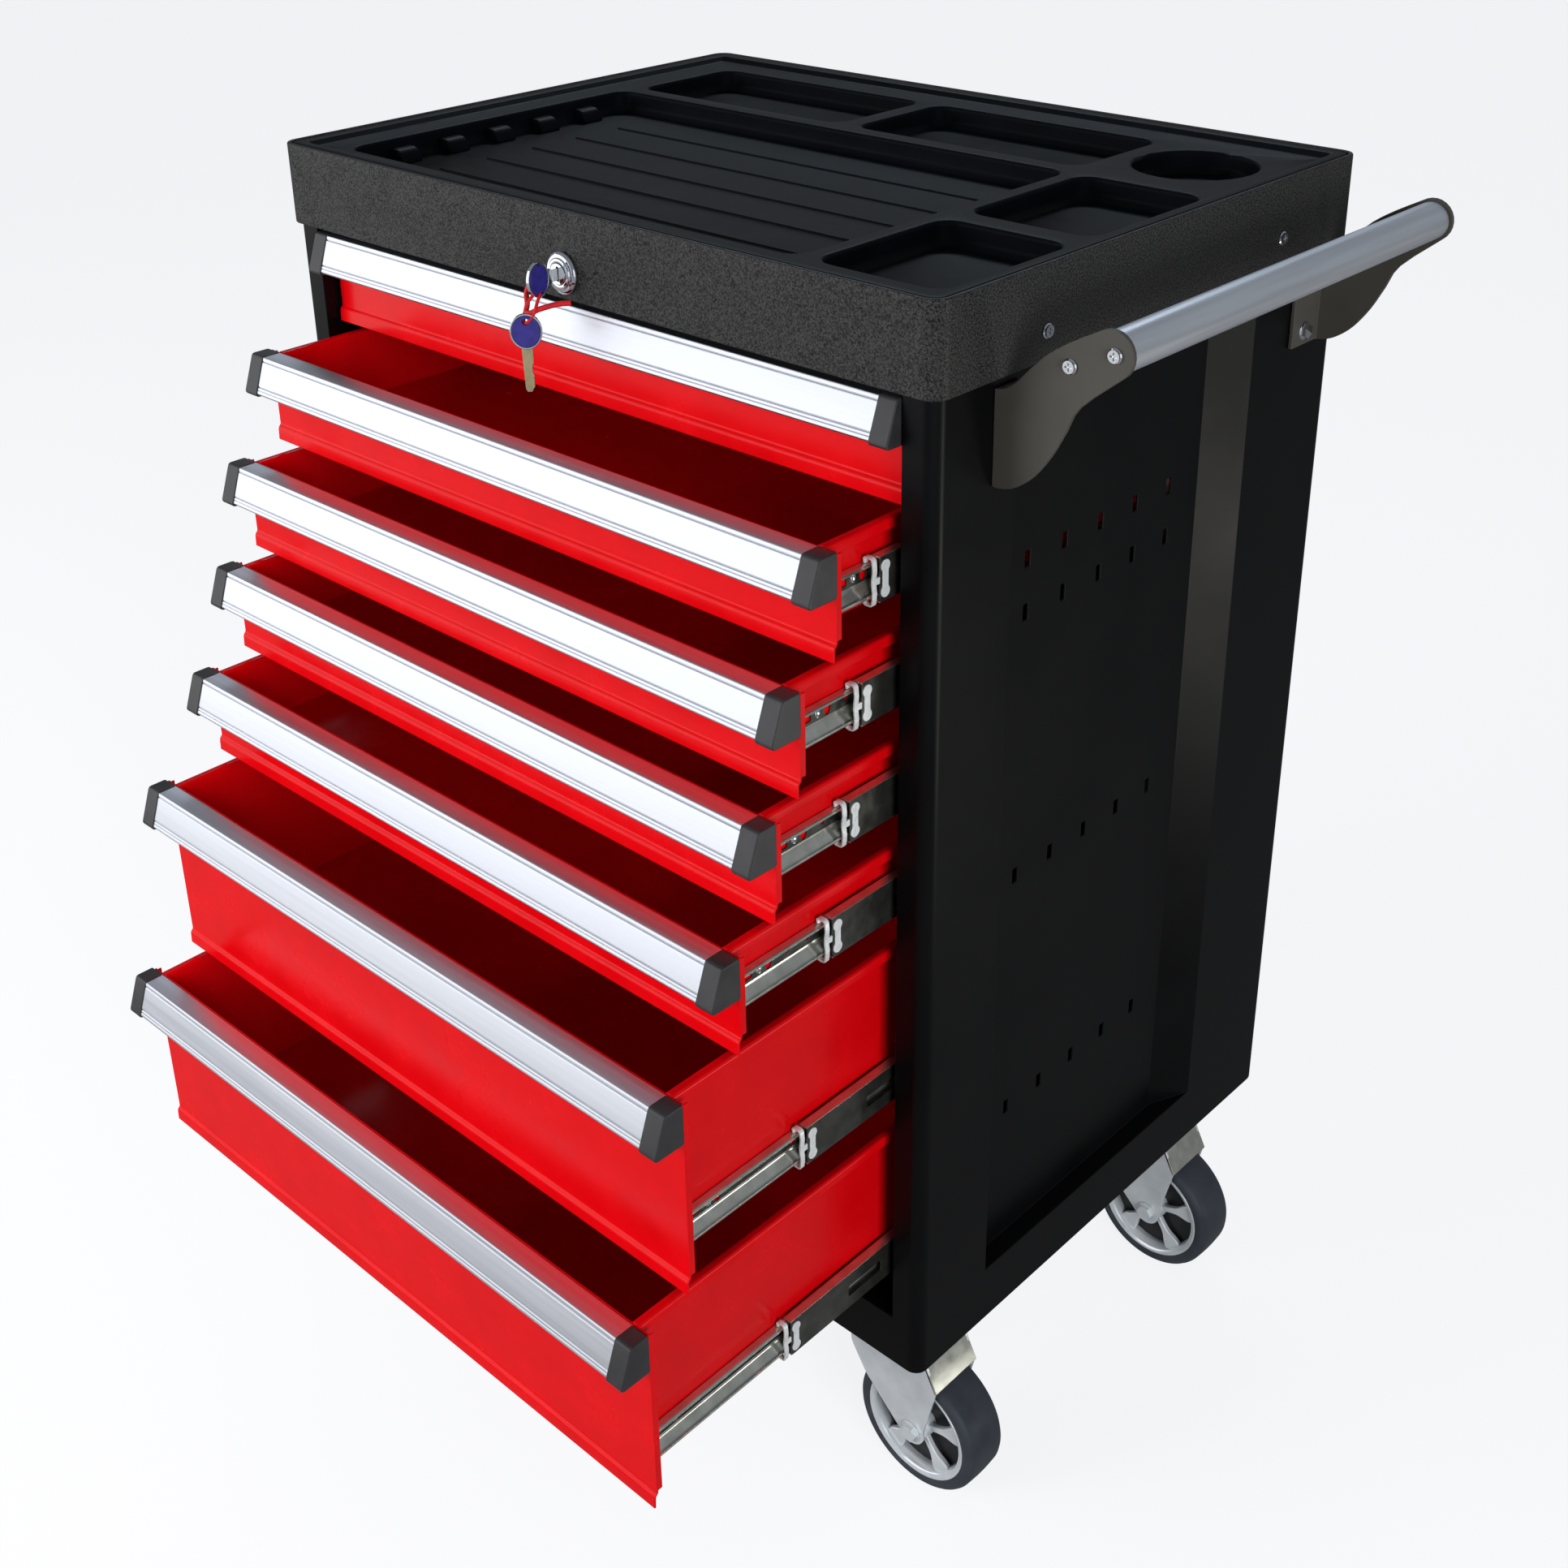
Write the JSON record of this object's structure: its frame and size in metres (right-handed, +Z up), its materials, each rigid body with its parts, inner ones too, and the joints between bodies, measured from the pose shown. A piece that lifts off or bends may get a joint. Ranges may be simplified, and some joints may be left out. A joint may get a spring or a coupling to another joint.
{
  "type": "rolling tool chest",
  "caption": "Steel tool chest on swivel casters, with drawers on telescopic slides, a moulded worktop, a cam lock and a tubular push handle at one side.",
  "frame": {"origin": "on the floor, under the centre of the whole chest's box as stored, with its drawers drawn out and its push handle counted", "axes": "+Z up; the drawers open towards -Y; the push handle is on the +X side"},
  "size_m": [0.7045, 0.7058, 0.963],
  "materials": {
    "black_paint": "smooth semi-gloss powder coat",
    "hammer_paint": "fine textured powder coat",
    "red_paint": "glossy powder coat",
    "aluminium": "satin anodised extrusion",
    "zinc": "bright zinc plate",
    "chrome": "polished chrome plate",
    "black_plastic": "satin moulded plastic",
    "key_plastic": "moulded plastic key head",
    "tyre_rubber": "smooth tread"
  },
  "bodies": {
    "cabinet": {"cabinet_shell": "black_paint", "back_panel": "black_paint", "top_frame": "hammer_paint", "worktop_tray": "black_plastic", "lock_body": "chrome", "slide_carrier_left": "zinc", "slide_carrier_right": "zinc", "side_handle_tube": "aluminium", "side_handle_bracket_front": "black_paint", "side_handle_bracket_rear": "black_paint", "caster_front_left_plate": "zinc", "caster_front_right_plate": "zinc", "caster_rear_left_plate": "zinc", "caster_rear_right_plate": "zinc"},
    "drawer_1": {"drawer_1_tray": "red_paint", "drawer_1_handle": "aluminium"},
    "drawer_2": {"drawer_2_tray": "red_paint", "drawer_2_handle": "aluminium"},
    "drawer_3": {"drawer_3_tray": "red_paint", "drawer_3_handle": "aluminium"},
    "drawer_4": {"drawer_4_tray": "red_paint", "drawer_4_handle": "aluminium"},
    "drawer_5": {"drawer_5_tray": "red_paint", "drawer_5_handle": "aluminium"},
    "drawer_6": {"drawer_6_tray": "red_paint", "drawer_6_handle": "aluminium"},
    "drawer_7": {"drawer_7_tray": "red_paint", "drawer_7_handle": "aluminium"},
    "runners_1": {"drawer_1_runner_left": "zinc", "drawer_1_runner_right": "zinc"},
    "runners_2": {"drawer_2_runner_left": "zinc", "drawer_2_runner_right": "zinc"},
    "runners_3": {"drawer_3_runner_left": "zinc", "drawer_3_runner_right": "zinc"},
    "runners_4": {"drawer_4_runner_left": "zinc", "drawer_4_runner_right": "zinc"},
    "runners_5": {"drawer_5_runner_left": "zinc", "drawer_5_runner_right": "zinc"},
    "runners_6": {"drawer_6_runner_left": "zinc", "drawer_6_runner_right": "zinc"},
    "runners_7": {"drawer_7_runner_left": "zinc", "drawer_7_runner_right": "zinc"},
    "lock_cylinder": {"lock_plug": "chrome", "lock_key": "key_plastic"},
    "lock_bar": {"lock_bar": "zinc"},
    "caster_front_left_swivel": {"caster_front_left_fork": "chrome"},
    "caster_front_left_wheel": {"caster_front_left_tyre": "tyre_rubber", "caster_front_left_rim": "chrome"},
    "caster_front_right_swivel": {"caster_front_right_fork": "chrome"},
    "caster_front_right_wheel": {"caster_front_right_tyre": "tyre_rubber", "caster_front_right_rim": "chrome"},
    "caster_rear_left_swivel": {"caster_rear_left_fork": "chrome"},
    "caster_rear_left_wheel": {"caster_rear_left_tyre": "tyre_rubber", "caster_rear_left_rim": "chrome"},
    "caster_rear_right_swivel": {"caster_rear_right_fork": "chrome"},
    "caster_rear_right_wheel": {"caster_rear_right_tyre": "tyre_rubber", "caster_rear_right_rim": "chrome"}
  },
  "joints": [
    {"name": "drawer_1_slide", "type": "slide", "parent": "cabinet", "child": "drawer_1", "axis": [0, -1, 0], "range_m": [0, 0.38]},
    {"name": "drawer_2_slide", "type": "slide", "parent": "cabinet", "child": "drawer_2", "axis": [0, -1, 0], "range_m": [-0.0659, 0.3141]},
    {"name": "drawer_3_slide", "type": "slide", "parent": "cabinet", "child": "drawer_3", "axis": [0, -1, 0], "range_m": [-0.0976, 0.2824]},
    {"name": "drawer_4_slide", "type": "slide", "parent": "cabinet", "child": "drawer_4", "axis": [0, -1, 0], "range_m": [-0.1195, 0.2605]},
    {"name": "drawer_5_slide", "type": "slide", "parent": "cabinet", "child": "drawer_5", "axis": [0, -1, 0], "range_m": [-0.1522, 0.2278]},
    {"name": "drawer_6_slide", "type": "slide", "parent": "cabinet", "child": "drawer_6", "axis": [0, -1, 0], "range_m": [-0.2022, 0.1778]},
    {"name": "drawer_7_slide", "type": "slide", "parent": "cabinet", "child": "drawer_7", "axis": [0, -1, 0], "range_m": [-0.2388, 0.1412]},
    {"name": "runners_1_slide", "type": "slide", "parent": "cabinet", "child": "runners_1", "axis": [0, -1, 0], "range_m": [0, 0.19]},
    {"name": "runners_2_slide", "type": "slide", "parent": "cabinet", "child": "runners_2", "axis": [0, -1, 0], "range_m": [-0.03295, 0.15705]},
    {"name": "runners_3_slide", "type": "slide", "parent": "cabinet", "child": "runners_3", "axis": [0, -1, 0], "range_m": [-0.0488, 0.1412]},
    {"name": "runners_4_slide", "type": "slide", "parent": "cabinet", "child": "runners_4", "axis": [0, -1, 0], "range_m": [-0.05975, 0.13025]},
    {"name": "runners_5_slide", "type": "slide", "parent": "cabinet", "child": "runners_5", "axis": [0, -1, 0], "range_m": [-0.0761, 0.1139]},
    {"name": "runners_6_slide", "type": "slide", "parent": "cabinet", "child": "runners_6", "axis": [0, -1, 0], "range_m": [-0.1011, 0.0889]},
    {"name": "runners_7_slide", "type": "slide", "parent": "cabinet", "child": "runners_7", "axis": [0, -1, 0], "range_m": [-0.1194, 0.0706]},
    {"name": "lock_turn", "type": "hinge", "parent": "cabinet", "child": "lock_cylinder", "pos_m": [-0.04425, -0.1113, 0.922], "axis": [0, 1, 0], "range_deg": [0, 90]},
    {"name": "lock_bar_drop", "type": "slide", "parent": "cabinet", "child": "lock_bar", "axis": [0, 0, -1], "range_m": [0, 0.01]},
    {"name": "caster_front_left_swivel", "type": "hinge", "parent": "cabinet", "child": "caster_front_left_swivel", "pos_m": [-0.27825, -0.0355, 0.1595], "axis": [0, 0, 1], "continuous": true},
    {"name": "caster_front_left_roll", "type": "hinge", "parent": "caster_front_left_swivel", "child": "caster_front_left_wheel", "pos_m": [-0.24825, -0.0355, 0.056], "axis": [0, 1, 0], "continuous": true},
    {"name": "caster_front_right_swivel", "type": "hinge", "parent": "cabinet", "child": "caster_front_right_swivel", "pos_m": [0.18975, -0.0355, 0.1595], "axis": [0, 0, 1], "continuous": true},
    {"name": "caster_front_right_roll", "type": "hinge", "parent": "caster_front_right_swivel", "child": "caster_front_right_wheel", "pos_m": [0.21975, -0.0355, 0.056], "axis": [0, 1, 0], "continuous": true},
    {"name": "caster_rear_left_swivel", "type": "hinge", "parent": "cabinet", "child": "caster_rear_left_swivel", "pos_m": [-0.27825, 0.2823, 0.1595], "axis": [0, 0, 1], "continuous": true},
    {"name": "caster_rear_left_roll", "type": "hinge", "parent": "caster_rear_left_swivel", "child": "caster_rear_left_wheel", "pos_m": [-0.24825, 0.2823, 0.056], "axis": [0, 1, 0], "continuous": true},
    {"name": "caster_rear_right_swivel", "type": "hinge", "parent": "cabinet", "child": "caster_rear_right_swivel", "pos_m": [0.18975, 0.2823, 0.1595], "axis": [0, 0, 1], "continuous": true},
    {"name": "caster_rear_right_roll", "type": "hinge", "parent": "caster_rear_right_swivel", "child": "caster_rear_right_wheel", "pos_m": [0.21975, 0.2823, 0.056], "axis": [0, 1, 0], "continuous": true}
  ],
  "couplings": [
    {"joint": "runners_1_slide", "follows": "drawer_1_slide", "ratio": 0.5},
    {"joint": "runners_2_slide", "follows": "drawer_2_slide", "ratio": 0.5},
    {"joint": "runners_3_slide", "follows": "drawer_3_slide", "ratio": 0.5},
    {"joint": "runners_4_slide", "follows": "drawer_4_slide", "ratio": 0.5},
    {"joint": "runners_5_slide", "follows": "drawer_5_slide", "ratio": 0.5},
    {"joint": "runners_6_slide", "follows": "drawer_6_slide", "ratio": 0.5},
    {"joint": "runners_7_slide", "follows": "drawer_7_slide", "ratio": 0.5},
    {"joint": "lock_turn", "follows": "lock_bar_drop", "rad_per_m": 157.07}
  ]
}
